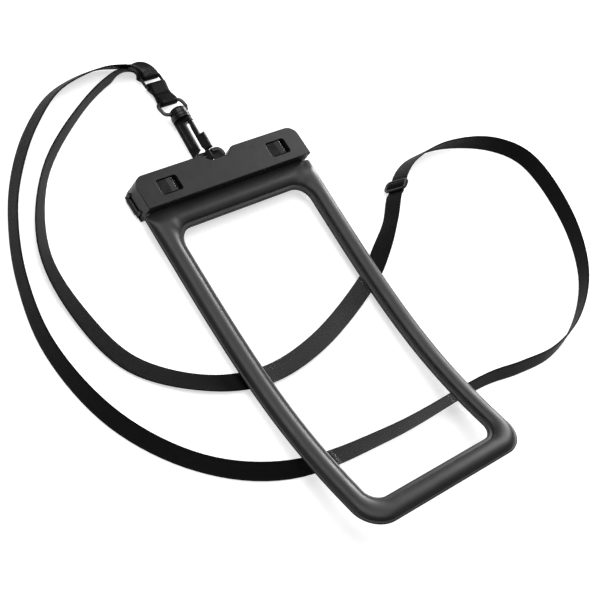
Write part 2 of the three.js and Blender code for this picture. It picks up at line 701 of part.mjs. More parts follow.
function latch(x) {
  const x0 = x + BUTTON_X0;
  const x1 = x + BUTTON_X1;
  const halfH = LATCH_WINDOW_H / 2 - BUTTON_GAP;
  const rampX = x0 + BUTTON_W * 0.55;
  const ridgeX = x0 + BUTTON_W * 0.82;
  const top = CLIP_T - BUTTON_DEPTH;
  const profile = new THREE.Shape();
  profile.moveTo(x0, POCKET_Z0 + 0.6);
  profile.lineTo(x1, POCKET_Z0 + 0.6);
  profile.lineTo(x1, top - BUTTON_END_DROP);
  profile.lineTo(ridgeX + 0.2, top);
  profile.lineTo(ridgeX - 0.3, top);
  profile.lineTo(rampX, top - BUTTON_RAMP);
  profile.lineTo(x0, top - BUTTON_RAMP);
  const button = new THREE.ExtrudeGeometry(profile, { depth: 2 * halfH, bevelEnabled: false });
  button.rotateX(Math.PI / 2);
  button.translate(0, LATCH_Y + halfH, 0);
  const outline = solid(extruded(
    roundedRect(x0, x1, LATCH_Y - halfH, LATCH_Y + halfH, LATCH_WINDOW_R - BUTTON_GAP),
    0,
    CLIP_T,
  ));
  const flange = box(x0 - FLANGE_LIP, x1 + FLANGE_LIP, FLANGE_Y0, FLANGE_Y1, TONGUE_Z0, TONGUE_Z0 + FLANGE_T);
  const tongue = leaning(
    x0 + 3,
    x + TONGUE_X1,
    FLANGE_Y1 - 0.5,
    FLANGE_Y1 + TONGUE_L,
    TONGUE_Z0,
    TONGUE_Z0 + TONGUE_T,
  );
  return geometryOf(join([solid(button).intersect(outline), flange, tongue]));
}

// Snap hook, drawn flat about its own axis: x across, y along, z through its thickness

const HALF_HOOK = HOOK_W / 2;
const EYE_LOW = HOOK_END + HOOK_BAR;
const SPINE_X1 = -HALF_HOOK + HOOK_SPINE_W;
const EYE_X0 = -HOOK_EYE_W / 2;
const GATE_X0 = SPINE_X1 + HOOK_SLOT_W;
const GATE_X1 = HALF_HOOK - GATE_INSET;
const GATE_ROOT_X = (GATE_X0 + GATE_X1) / 2;
const TOE_X0 = HOOK_EYE_W / 2;

function hookOutline() {
  const shape = new THREE.Shape();
  const r = 2.4;
  const upper = COLLAR_Y + COLLAR_H / 2;
  shape.moveTo(-HALF_HOOK, upper);
  shape.lineTo(-HALF_HOOK, HOOK_END + r);
  shape.absarc(-HALF_HOOK + r, HOOK_END + r, r, Math.PI, Math.PI * 1.5);
  shape.lineTo(HALF_HOOK - r, HOOK_END);
  shape.absarc(HALF_HOOK - r, HOOK_END + r, r, -Math.PI / 2, 0);
  shape.lineTo(HALF_HOOK, HOOK_TOE_TOP - 0.4);
  shape.lineTo(HALF_HOOK - 0.4, HOOK_TOE_TOP);
  shape.lineTo(TOE_X0, HOOK_TOE_TOP);
  shape.lineTo(TOE_X0, EYE_LOW + 1.2);
  shape.quadraticCurveTo(TOE_X0, EYE_LOW, TOE_X0 - 1.2, EYE_LOW);
  shape.lineTo(EYE_X0 + 1.2, EYE_LOW);
  shape.quadraticCurveTo(EYE_X0, EYE_LOW, EYE_X0, EYE_LOW + 1.2);
  shape.lineTo(EYE_X0, HOOK_EYE_TOP);
  shape.quadraticCurveTo(EYE_X0, HOOK_EYE_TOP + 1.4, SPINE_X1, HOOK_EYE_TOP + 2.6);
  shape.lineTo(SPINE_X1, HOOK_SLOT_TOP - 1);
  shape.quadraticCurveTo(SPINE_X1, HOOK_SLOT_TOP, SPINE_X1 + HOOK_SLOT_W / 2, HOOK_SLOT_TOP);
  shape.lineTo(HALF_HOOK, HOOK_SLOT_TOP);
  shape.lineTo(HALF_HOOK, upper);
  return shape;
}

function hookBody() {
  const half = HOOK_T / 2;
  const toe = HOOK_TOE_T / 2;
  const plate = solid(extruded(hookOutline(), -half, half, 0.6));
  const slopeShape = (sign) => {
    const side = new THREE.Shape();
    side.moveTo(HOOK_END - 2, sign * toe);
    side.lineTo(HOOK_THIN_TOP, sign * toe);
    side.lineTo(HOOK_THIN_TOP + 3, sign * (half + 0.01));
    side.lineTo(HOOK_THIN_TOP + 3, sign * (half + 2));
    side.lineTo(HOOK_END - 2, sign * (half + 2));
    const geometry = new THREE.ExtrudeGeometry(side, { depth: HOOK_W + 4, bevelEnabled: false });
    geometry.applyMatrix4(new THREE.Matrix4().makeBasis(
      new THREE.Vector3(0, 1, 0),
      new THREE.Vector3(0, 0, 1),
      new THREE.Vector3(1, 0, 0),
    ));
    geometry.translate(-HALF_HOOK - 2, 0, 0);
    return solid(outward(mergeVertices(stripped(geometry))));
  };
  const grooves = [-1, 1].map((sign) => {
    const [z0, z1] = sign > 0 ? [half - 0.3, HOOK_T] : [-HOOK_T, 0.3 - half];
    const x = (-HALF_HOOK + SPINE_X1) / 2;
    return box(x - 0.45, x + 0.45, HOOK_THIN_TOP + 1, COLLAR_Y - 0.5, z0, z1);
  });
  const collar = rod(COLLAR_R, COLLAR_Y, COLLAR_Y + COLLAR_H, 0, 0, 28)
    .subtract(rod(COLLAR_R + 1, COLLAR_Y + 0.9, COLLAR_Y + 1.3, 0, 0, 28).subtract(
      rod(COLLAR_R - 0.35, COLLAR_Y - 1, COLLAR_Y + COLLAR_H + 1, 0, 0, 28),
    ));
  const bore = rod(STEM_R + GAP, COLLAR_Y - STEM_L + COLLAR_H - 0.5, COLLAR_Y + COLLAR_H + 1, 0, 0, 18);
  const socket = gateRoot(GATE_ROOT_R + GAP, HOOK_T);
  return geometryOf(cut(plate.add(collar), [slopeShape(1), slopeShape(-1), ...grooves, bore, socket]));
}

// A short rod through the hook's thickness at the gate's root
function gateRoot(radius, length) {
  const geometry = new THREE.CylinderGeometry(radius, radius, length + 2, 18);
  geometry.rotateX(Math.PI / 2);
  geometry.translate(GATE_ROOT_X, GATE_ROOT_Y, 0);
  return solid(geometry);
}

function hookGate() {
  const half = GATE_T / 2;
  const tip = HOOK_TOE_TOP + GAP;
  const shape = new THREE.Shape();
  shape.moveTo(GATE_ROOT_X - 1, GATE_ROOT_Y);
  shape.lineTo(GATE_X0, GATE_ROOT_Y - 3);
  shape.lineTo(GATE_X0, tip + 2.4);
  shape.lineTo(GATE_X0 + 0.8, tip);
  shape.lineTo(HALF_HOOK + GATE_TAB, tip);
  shape.lineTo(HALF_HOOK + GATE_TAB, GATE_TAB_TOP);
  shape.lineTo(GATE_X1, GATE_TAB_TOP);
  shape.lineTo(GATE_X1, GATE_ROOT_Y - 2.5);
  shape.quadraticCurveTo(GATE_X1, GATE_ROOT_Y - 0.8, GATE_ROOT_X + 1, GATE_ROOT_Y);
  const arm = solid(extruded(shape, -half, half, 0.4));
  const root = gateRoot(GATE_ROOT_R, GATE_T - 2);
  return geometryOf(arm.add(root));
}

function swivelHead() {
  const y0 = COLLAR_Y + COLLAR_H + GAP;
  const profile = [
    [0, y0 - STEM_L],
    [STEM_R, y0 - STEM_L],
    [STEM_R, y0],
    [HEAD_R, y0],
    [HEAD_R, y0 + HEAD_H * 0.55],
    [HEAD_R * 0.94, y0 + HEAD_H * 0.76],
    [HEAD_R * 0.76, y0 + HEAD_H * 0.92],
    [HEAD_R * 0.45, y0 + HEAD_H],
    [0, y0 + HEAD_H],
  ].map(([x, y]) => new THREE.Vector2(x, y));
  const head = solid(new THREE.LatheGeometry(profile, 28));
  const hole = new THREE.CylinderGeometry(HEAD_HOLE_R, HEAD_HOLE_R, 3 * HEAD_R, 20);
  hole.rotateZ(Math.PI / 2);
  hole.translate(0, y0 + HEAD_HOLE_UP, 0);
  return geometryOf(head.subtract(solid(hole)));
}

// Ring: an oval of round wire whose near side lies in the head's hole and whose far side is low

const AXIS_SLOPE = Math.tan(rad(-HOOK_YAW));
const HOLE_ALONG = COLLAR_Y + COLLAR_H + GAP + HEAD_HOLE_UP;
const HOLE_Y = HOLE_ALONG * Math.cos(rad(HOOK_YAW));
const HOLE_X = HOOK_X + HOLE_Y * AXIS_SLOPE;
const RING_X = HOLE_X + RING_ASIDE;

function ringPoint(angle) {
  const power = 2 / RING_SQUARE;
  const c = Math.cos(angle);
  const s = Math.sin(angle);
  const halfW = RING_W / 2 - RING_WIRE_R;
  const halfL = RING_L / 2 - RING_WIRE_R;
  const u = Math.sign(c) * Math.abs(c) ** power * halfW;
  const v = Math.sign(s) * Math.abs(s) ** power * halfL + halfL;
  const tilt = rad(RING_TILT);
  return new THREE.Vector3(
    RING_X + u,
    HOLE_Y - 0.08 + v * Math.cos(tilt),
    HOOK_Z - v * Math.sin(tilt),
  );
}

const RING_FAR = ringPoint(Math.PI / 2);
const LINK_TILT = Math.atan2(LINK_FAR_Z - RING_FAR.z, LINK_Y1 - RING_FAR.y);
const LOOP_X = RING_X + LOOP_ASIDE;

function strapRing() {
  const steps = 40;
  const sides = 10;
  const normal = new THREE.Vector3(0, Math.sin(rad(RING_TILT)), Math.cos(rad(RING_TILT)));
  const rings = [];
  for (let i = 0; i < steps; i += 1) {
    const angle = (2 * Math.PI * (i + 0.5)) / steps;
    const here = ringPoint(angle);
    const along = ringPoint(angle + 0.02).sub(ringPoint(angle - 0.02)).normalize();
    const out = along.clone().cross(normal);
    const ring = [];
    for (let j = 0; j < sides; j += 1) {
      const a = (2 * Math.PI * j) / sides;
      ring.push(here.clone()
        .addScaledVector(out, RING_WIRE_R * Math.cos(a))
        .addScaledVector(normal, RING_WIRE_R * Math.sin(a)));
    }
    rings.push(ring);
  }
  return loft(rings, true);
}

// Link of webbing: a doubled band with an eye round the ring's wire and one round the loop's bar
function linkWebbing() {
  const eyeR = RING_WIRE_R + WEB_GAP;
  const outR = eyeR + WEB_T;
  const reach = LINK_Y1 - RING_FAR.y;
  const shape = new THREE.Shape();
  const neck = WEB_T + 0.05;
  const steps = 8;
  const outlineHalf = (side) => {
    const points = [];
    for (let i = 0; i <= steps; i += 1) {
      const a = Math.PI - (Math.PI * 0.62 * i) / steps;
      points.push([outR * Math.cos(a), side * outR * Math.sin(a)]);
    }
    points.push([outR * 1.9, side * neck]);
    points.push([reach - outR * 1.9, side * neck]);
    for (let i = 0; i <= steps; i += 1) {
      const a = Math.PI * 0.62 - (Math.PI * 0.62 * i) / steps;
      points.push([reach + outR * Math.cos(a), side * outR * Math.sin(a)]);
    }
    return points;
  };
  const upper = outlineHalf(1);
  const lower = outlineHalf(-1).reverse();
  [...upper, ...lower.slice(1, -1)].forEach(([y, z], i) => {
    if (i === 0) shape.moveTo(y, z);
    else shape.lineTo(y, z);
  });
  const band = extruded(shape, 0, WEB_W);
  const eyes = [0, reach].map((y) => {
    const eye = new THREE.CylinderGeometry(eyeR, eyeR, WEB_W + 2, 18);
    eye.rotateX(Math.PI / 2);
    eye.translate(y, 0, WEB_W / 2);
    return solid(eye);
  });
  const geometry = geometryOf(cut(solid(band), eyes));
  geometry.applyMatrix4(new THREE.Matrix4().makeBasis(
    new THREE.Vector3(0, 1, 0),
    new THREE.Vector3(0, 0, 1),
    new THREE.Vector3(1, 0, 0),
  ));
  geometry.rotateX(LINK_TILT);
  geometry.translate((RING_X + LOOP_X - WEB_W) / 2, RING_FAR.y, RING_FAR.z);
  return geometry;
}

// Loop: a flat frame of four bars, round where webbing and strap turn over it
const LOOP_HALF = LOOP_BAR / 2;

function strapLoop() {
  const halfW = LOOP_W / 2;
  const y0 = -LOOP_HALF;
  const y1 = LOOP_L - LOOP_HALF;
  const outer = roundedRect(-halfW, halfW, y0, y1, 1.6);
  const inner = roundedRect(-halfW + LOOP_SIDE, halfW - LOOP_SIDE, y0 + LOOP_BAR, y1 - LOOP_BAR, 0.5);
  const frameBody = solid(extruded(outer, -LOOP_T / 2, LOOP_T / 2, LOOP_BEVEL))
    .subtract(solid(extruded(inner, -LOOP_T, LOOP_T)));
  return geometryOf(frameBody);
}

// Strap: a flat band through knots, each with its centre and the direction across the band

function runKnots(run) {
  return run.map(([x, y, lean, room], i) => {
    const before = run[Math.max(i - 1, 0)];
    const after = run[Math.min(i + 1, run.length - 1)];
    const along = new THREE.Vector2(after[0] - before[0], after[1] - before[1]).normalize();
    const turn = rad(lean);
    const across = new THREE.Vector3(-along.y * Math.cos(turn), along.x * Math.cos(turn), Math.sin(turn));
    const rise = (STRAP_W * Math.abs(Math.sin(turn)) + STRAP_T * Math.abs(Math.cos(turn))) / 2;
    return { centre: new THREE.Vector3(x, y, rise + room), across };
  });
}

const outerKnots = runKnots(OUTER_RUN);
const innerKnots = runKnots(INNER_RUN);

// Half a turn round the loop's far bar, from its upper side through the loop to its lower side
function foldKnots() {
  const barY = LINK_Y1 + (LOOP_L - LOOP_BAR) * Math.cos(LINK_TILT);
  const barZ = LINK_FAR_Z + (LOOP_L - LOOP_BAR) * Math.sin(LINK_TILT);
  const radius = Math.hypot(LOOP_BAR / 2, LOOP_T / 2 - LOOP_BEVEL) + STRAP_FOLD + STRAP_T / 2;
  const knots = [];
  for (let i = 0; i <= 6; i += 1) {
    const a = Math.PI * (0.5 + i / 6);
    knots.push({
      centre: new THREE.Vector3(LOOP_X, barY + radius * Math.cos(a), barZ + radius * Math.sin(a)),
      across: new THREE.Vector3(-1, 0, 0),
    });
  }
  return knots;
}

// The slide's own axes: y from the inner run's end to the outer run's end, z up off the band
function slideFrame() {
  const outerEnd = outerKnots[outerKnots.length - 1];
  const innerEnd = innerKnots[0];
  const y = outerEnd.centre.clone().sub(innerEnd.centre).normalize();
  const x = outerEnd.across.clone().add(innerEnd.across).negate();
  x.addScaledVector(y, -x.dot(y)).normalize();
  const z = x.clone().cross(y);
  const centre = outerEnd.centre.clone().add(innerEnd.centre).multiplyScalar(0.5);
  centre.addScaledVector(z, -SLIDE_DROP);
  return { x, y, z, centre };
}

// The band's way through the slide: over one end bar, under the middle bar, over the other
function threadKnots() {
  const { x, y, z, centre } = slideFrame();
  const off = SLIDE_T / 2 + GAP + STRAP_T / 2;
  const end = SLIDE_L / 2;
  const inside = end - SLIDE_BAR;
  const turn = [[SLIDE_BAR / 2 + 0.4, -off + 0.35], [inside - 0.4, off - 0.35]];
  const half = [[0, -off], ...turn, [inside + 0.1, off], [end, off]];
  const side = (sign) => half.slice(1).map(([along, up]) => [sign * along, up]);
  return [...side(1).reverse(), half[0], ...side(-1)].map(([along, up]) => ({
    centre: centre.clone().addScaledVector(y, along).addScaledVector(z, up),
    across: x.clone().negate(),
  }));
}

function neckStrap() {
  const fold = foldKnots();
  const middle = (fold.length - 1) / 2;
  const knots = [
    ...fold.slice(0, middle + 1).reverse(),
    ...outerKnots,
    ...threadKnots(),
    ...innerKnots,
    ...fold.slice(middle + 1).reverse(),
  ];
  const path = new THREE.CatmullRomCurve3(knots.map((knot) => knot.centre), true, 'centripetal');
  const lean = new THREE.CatmullRomCurve3(knots.map((knot) => knot.across), true, 'centripetal');
  const steps = STRAP_STEPS * knots.length;
  const rings = [];
  for (let i = 0; i < steps; i += 1) {
    const here = path.getPoint(i / steps);
    const along = path.getTangent(i / steps);
    const across = lean.getPoint(i / steps);
    across.addScaledVector(along, -across.dot(along)).normalize();
    const through = along.clone().cross(across).normalize();
    rings.push([[-1, -1], [1, -1], [1, 1], [-1, 1]].map(([u, v]) => here.clone()
      .addScaledVector(across, (u * STRAP_W) / 2)
      .addScaledVector(through, (v * STRAP_T) / 2)));
  }
  return loft(rings, true);
}

// Slide of the strap: a frame with a middle bar, between the ends of the two runs
function strapSlide() {
  const halfW = SLIDE_W / 2;
  const halfL = SLIDE_L / 2;
  const side = (SLIDE_W - STRAP_W) / 2 - GAP;
  const outer = roundedRect(-halfW, halfW, -halfL, halfL, SLIDE_CORNER);
  const openings = [-1, 1].map((end) => {
    const near = end * (SLIDE_BAR / 2);
    const far = end * (halfL - SLIDE_BAR);
    return solid(extruded(
      roundedRect(-halfW + side, halfW - side, Math.min(near, far), Math.max(near, far), 0.4),
      -SLIDE_T,
      SLIDE_T,
    ));
  });
  return geometryOf(cut(solid(extruded(outer, -SLIDE_T / 2, SLIDE_T / 2, SLIDE_BEVEL)), openings));
}

// Materials and assembly

const material = (color, roughness, metalness = 0, opacity = 1) => new THREE.MeshStandardMaterial({
  color,
  roughness,
  metalness,
  opacity,
  transparent: opacity < 1,
});
const clipPlastic = material(0x2a2a2b, 0.5);
const softPad = material(0x262627, 0.6);
const clearFilm = material(0xe8e8ea, 0.1, 0, 0.25);
const sealRubber = material(0x141414, 0.8);
const hookPlastic = material(0x242425, 0.45);
const darkSteel = material(0x1c1c1e, 0.3, 0.9);
const bareSteel = material(0x9a9a9c, 0.35, 1);
const webbing = material(0x151516, 0.9);

function piece(name, geometry, look) {
  const mesh = new THREE.Mesh(geometry, look);
  mesh.name = name;
  return mesh;
}

const pouch = new THREE.Group();
pouch.add(
  piece('clip_rear_bar', rearBar(), clipPlastic),
  piece('clip_front_cover', frontCover(), clipPlastic),
  piece('clip_hinge_pin', hingePin(), bareSteel),
  piece('latch_left', latch(LATCH_X[0]), clipPlastic),
  piece('latch_right', latch(LATCH_X[1]), clipPlastic),
  piece('rear_gasket', gasket(BAR_T - GASKET_GROOVE + SEAT, BAR_T + GASKET_PROUD, true), sealRubber),
  piece(
    'front_gasket',
    gasket(COVER_FLOOR_Z - GASKET_PROUD, COVER_FLOOR_Z + GASKET_GROOVE - SEAT, false),
    sealRubber,
  ),
  piece('front_frame', frame(1), softPad),
  piece('rear_frame', frame(-1), softPad),
  piece('front_window', film(1), clearFilm),
  piece('rear_window', film(-1), clearFilm),
);

const hook = new THREE.Group();
hook.rotation.set(0, rad(-HOOK_ROLL), rad(HOOK_YAW), 'ZYX');
hook.position.set(HOOK_X, 0, HOOK_Z);
hook.add(piece('hook_body', hookBody(), hookPlastic), piece('hook_gate', hookGate(), hookPlastic));

const head = new THREE.Group();
head.rotation.z = rad(HOOK_YAW);
head.position.copy(hook.position);
head.add(piece('swivel_head', swivelHead(), hookPlastic));

const loop = new THREE.Group();
loop.rotation.x = LINK_TILT;
loop.position.set(LOOP_X, LINK_Y1, LINK_FAR_Z);
loop.add(piece('strap_loop', strapLoop(), hookPlastic));

pouch.add(hook, head, loop);
pouch.add(piece('strap_ring', strapRing(), darkSteel));
pouch.add(piece('link_webbing', linkWebbing(), webbing));
pouch.add(piece('neck_strap', neckStrap(), webbing));

const slide = new THREE.Group();
const slideAxes = slideFrame();
slide.quaternion.setFromRotationMatrix(
  new THREE.Matrix4().makeBasis(slideAxes.x, slideAxes.y, slideAxes.z),
);
slide.position.copy(slideAxes.centre);
slide.add(piece('strap_slide', strapSlide(), hookPlastic));
pouch.add(slide);

export default pouch;
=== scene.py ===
"""The looks of the waterproof phone pouch: camera, neck strap, padded frames, films and materials.

The scene is in metres and the sizes named here are in millimetres, in the part's own frame:
+X across the pouch, +Y towards the hook, +Z up.
"""

import math

import bmesh
import bpy
import numpy as np
from mathutils import Matrix, Vector


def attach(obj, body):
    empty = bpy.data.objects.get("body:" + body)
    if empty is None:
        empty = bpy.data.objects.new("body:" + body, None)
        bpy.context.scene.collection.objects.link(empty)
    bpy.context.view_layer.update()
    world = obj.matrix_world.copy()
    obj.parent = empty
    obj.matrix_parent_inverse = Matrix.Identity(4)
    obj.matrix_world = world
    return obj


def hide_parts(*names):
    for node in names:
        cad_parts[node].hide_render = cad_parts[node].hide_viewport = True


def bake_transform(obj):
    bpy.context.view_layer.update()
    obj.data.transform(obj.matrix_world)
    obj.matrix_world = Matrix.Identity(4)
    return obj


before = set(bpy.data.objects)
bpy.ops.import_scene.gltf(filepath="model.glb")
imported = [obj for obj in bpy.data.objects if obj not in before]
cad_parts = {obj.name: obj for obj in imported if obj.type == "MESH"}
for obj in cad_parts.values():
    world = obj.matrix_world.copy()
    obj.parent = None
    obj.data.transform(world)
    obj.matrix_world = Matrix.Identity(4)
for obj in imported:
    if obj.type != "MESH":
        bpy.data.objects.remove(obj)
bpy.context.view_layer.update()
MM = 0.001

# Camera, fitted to the photo, in metres
CAMERA_AT = Vector((-0.45099, -0.23297, 0.56747))
CAMERA_RIGHT = Vector((0.72555, -0.53139, 0.43725))
CAMERA_BACK = Vector((-0.61181, -0.20722, 0.76338))
CAMERA_LENS = 86.656

# Floor, world and lamps: the floor's sizes are in millimetres, the lamps' places in metres
FLOOR_GLOW = 0.62  # glow of the floor where it is seen, so that it shows white under faint shadows
FLOOR_HALF = 3000
FLOOR_DROP = 0.2
WORLD_LEVEL = 0.16
LAMP_AIM = (0, -0.06, 0)

# Clip and pouch, as in the part's source, in millimetres
CLIP_LOW_Y = -9.35
POUCH_W = 113
POUCH_L = 195.5
POUCH_CORNER = 15
NECK_W = 103
NECK_IN = 11.6
NECK_EDGE = 5
NECK_T = 0.6
SHOULDER_S = 0.4
SEAM_GAP = 0.3
RIM_W = 13.05
RIM_TOP = 13.65
RIM_BOTTOM = 13
RIM_H = 3.4
WELD_W = 1.2
WELD_H = 0.5
LAND_W = 2.4
LAND_H = 0.95
RIM_RISE = 8
RIM_POWER = 2.3  # how square the padding's section is
LAND_LIP = 0.2  # drop of the land at the window's edge
LAND_LIP_W = 0.3
WELD_LIP = 0.15  # drop of the weld at the outer seam
WELD_LIP_W = 0.25
LIP_STEP = 0.12  # places where the rim's section is drawn, beside its lips and the padding's foot
FOOT_STEP = 0.2
SHOULDER_W = 1
SHOULDER_CORNER = 0.2
WINDOW_TOP_R = 9
WINDOW_BOTTOM_R = 8
TOP_STEPS = 8
SHOULDER_STEPS = 24
SIDE_STEPS = 46
CORNER_STEPS = 14
BOTTOM_STEPS = 10
FILM_STEPS = 60
FILM_CORNER_STEPS = 10
FILM_COLUMNS = 25
FILM_MID = 0.45
FILM_T = 0.35
POUCH_Z = 6.575
DIP = -2.75
CURL = 27.94
CURL_FROM_END = 58.8
CURL_SPREAD = 60.6
BEND_START = 8
POSTURE_STEP = 0.5  # step along the pouch at which its mid surface is worked out

# Ring, link and loop
RING_X = -1.372
RING_Y = 40.062
RING_Z = 5.4
RING_W = 17.8
RING_L = 10.75
RING_WIRE_R = 1
RING_TILT = 11
RING_SQUARE = 4  # power of the ring's rounded square
RING_STEPS = 96
WIRE_SIDES = 14
RING_PROBE = 0.01  # half of the angle over which the ring's direction is taken
WEB_W = 10.4
WEB_T = 0.8
WEB_GAP = 0.45
LINK_Y1 = 59.8
LINK_FAR_Z = 3.1
LOOP_L = 8.4
LOOP_BAR = 1.7
LOOP_T = 1.7
LOOP_BEVEL = 0.45
LOOP_ASIDE = -0.45
LOOP_X = RING_X + LOOP_ASIDE
LINK_X = (RING_X + LOOP_X) / 2
EYE_R = RING_WIRE_R + WEB_GAP  # inside of the link's two eyes
EYE_OUT = EYE_R + WEB_T
EYE_TURN = 0.62 * math.pi  # half of the angle that the band goes round an eye
EYE_STEPS = 15
HOLE_STEPS = 24
LINK_COLUMNS = 9
LINK_BACK = 0.02  # added thickness where the link's two layers meet
LINK_JOIN = 0.05  # gap between the link's two halves

# Neck strap
STRAP_W = 10
STRAP_T = 0.8
STRAP_FOLD = 0.35  # room between the strap and the loop's bar
FOLD_STEPS = 6
STRAP_STEPS = 8  # rings between two points of the strap's route
STRAP_EDGE = 0.35  # depth of the woven edge
FACE_COLUMNS = 6  # points across a face of the band's section
EDGE_TURNS = (0.5, 2.64)  # angles between which a woven edge is drawn
EDGE_STEPS = 4
SAME_PLACE = 1e-4  # points closer than this count as one
RIB_ACROSS = 0.55  # spacing of the woven ribs, across and along the band
RIB_ALONG = 0.9

# Route of the strap: x, y, lean from flat in degrees, room under its lower edge
OUTER_RUN = [
    (-3.8, 70.2, 2, 4.4), (-9, 72.8, 42, 2), (-15.6, 74.9, 66, 0.4), (-29.5, 77.3, 63, 0.3),
    (-59.3, 71.7, 64, 0.3), (-83, 56.3, 64, 0.3), (-103, 36.3, 70, 0.3), (-118.7, 13.8, 80, 0.3),
    (-132.4, -18.3, 82, 0.3), (-138.2, -54.6, 76, 0.3), (-128.4, -97.3, 64, 0.3), (-101.6, -132.4, 60, 0.3),
    (-60.3, -154.6, 42, 0.3), (3, -161.9, 58, 0.3), (76.9, -161.1, 66, 0.3),
    (103, -164.1, 66, 0.3), (130.4, -164.8, 72, 0.3), (160.6, -155.5, 84, 0.3), (188.5, -133.2, 92, 0.3),
    (204.8, -98.2, 104, 0.3), (205.3, -56.8, 118, 0.3), (188.5, -39.9, 112, 0.3), (152.5, -29.3, 86, 0.3),
    (122.3, -31.2, 66, 0.8), (105.8, -38.8, 60, 3),
]
INNER_RUN = [
    (93.8, -47.9, 60, 3), (83.5, -59.3, 60, 0.8), (67, -72.6, 28, 0.4), (53, -82.2, 3, 0.3),
    (-2.1, -103.3, 4, 0.2), (-41.9, -107.4, 5, 0.2), (-75, -97.7, 12, 0.3), (-102.9, -75.1, 3, 0.3),
    (-113, -46, 11, 0.3), (-113.3, -8.9, 35, 0.3), (-91.3, 29.1, 60, 0.3), (-51, 58.7, 75, 0.3),
    (-24.5, 70.4, 84, 0.3), (-13.5, 72.3, 136, 0.3), (-6.6, 72.2, 180, 0.8),
]

# Slide of the strap
SLIDE_L = 8.4
SLIDE_T = 1.6
SLIDE_BAR = 1.2
SLIDE_DROP = 0.9
THREAD_PAST = 0.4  # how far past the slide's bars the strap turns
THREAD_EASE = 0.35
THREAD_FLAT = 0.1

# Room between neighbouring pieces
GAP = 0.3


def unit(v):
    return v / np.linalg.norm(v)


def smoothstep(value, low, high):
    t = np.clip((value - low) / (high - low), 0, 1)
    return t * t * (3 - 2 * t)


# Meshes


def mesh_piece(name, points, faces):
    """A piece from points in millimetres."""
    mesh = bpy.data.meshes.new(name)
    mesh.from_pydata([tuple(float(c) * MM for c in p) for p in points], [], faces)
    mesh.validate()
    mesh.shade_smooth()
    piece = bpy.data.objects.new(name, mesh)
    bpy.context.scene.collection.objects.link(piece)
    return piece


def ring_faces(rings, count, closed):
    """Quads between equal rings of points, with the two ends capped where the row is open."""
    faces = []
    for i in range(rings if closed else rings - 1):
        near, far = i * count, ((i + 1) % rings) * count
        for j in range(count):
            k = (j + 1) % count
            faces.append((near + j, near + k, far + k, far + j))
    if not closed:
        faces.append(tuple(range(count - 1, -1, -1)))
        faces.append(tuple((rings - 1) * count + j for j in range(count)))
    return faces


def lofted(name, rings, closed=False):
    """A closed body through equal rings of points."""
    points = [p for ring in rings for p in ring]
    piece = mesh_piece(name, points, ring_faces(len(rings), len(rings[0]), closed))
    outward(piece)
    return piece


def outward(piece):
    """Turns the faces round where the closed body's volume is negative."""
    mesh = piece.data
    volume = 0.0
    for face in mesh.polygons:
        corner = [mesh.vertices[v].co for v in face.vertices]
        for a, b in zip(corner[1:-1], corner[2:]):
            volume += corner[0].dot(a.cross(b))
    if volume < 0:
        mesh.flip_normals()


def finish_piece(piece, body, slot, material, *nodes):
    """Gives a piece its material and, where one is named, its body, and hides the CAD solids that it stands
    for; slot is not used.
    """
    piece.data.materials.append(material)
    if body:
        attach(piece, body)
    if nodes:
        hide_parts(*nodes)


# Pouch's mid surface


def slope_at(distance):
    wave = 0.5 * (1 + math.tanh((distance - (POUCH_L - CURL_FROM_END)) / CURL_SPREAD))
    return math.radians(DIP + CURL * wave) * float(smoothstep(distance, 0, BEND_START))


def posture_table():
    rows = [(CLIP_LOW_Y, POUCH_Z)]
    s = 0.0
    while s < POUCH_L + POSTURE_STEP:
        slope = slope_at(s + POSTURE_STEP / 2)
        y, z = rows[-1]
        rows.append((y - POSTURE_STEP * math.cos(slope), z + POSTURE_STEP * math.sin(slope)))
        s += POSTURE_STEP
    return np.array(rows)


POSTURE = posture_table()


def bent(x, s, h):
    """x across, s along from the clip's lower edge, h off the mid surface."""
    if s <= 0:
        return np.array((x, CLIP_LOW_Y - s, POUCH_Z + h))
    step = min(int(s / POSTURE_STEP), len(POSTURE) - 2)
    y, z = POSTURE[step] + (POSTURE[step + 1] - POSTURE[step]) * (s / POSTURE_STEP - step)
    slope = slope_at(s)
    return np.array((x, y + h * math.sin(slope), z + h * math.cos(slope)))


# Camera and stage


def make_camera():
    data = bpy.data.cameras.new("photo_camera")
    data.lens = CAMERA_LENS
    data.sensor_width = 36
    camera = bpy.data.objects.new("photo_camera", data)
    right, back = CAMERA_RIGHT.normalized(), CAMERA_BACK.normalized()
    up = back.cross(right)
    camera.matrix_world = Matrix((
        (right.x, up.x, back.x, CAMERA_AT.x),
        (right.y, up.y, back.y, CAMERA_AT.y),
        (right.z, up.z, back.z, CAMERA_AT.z),
        (0, 0, 0, 1),
    ))
    bpy.context.scene.collection.objects.link(camera)
    bpy.context.scene.camera = camera


make_camera()


# Materials


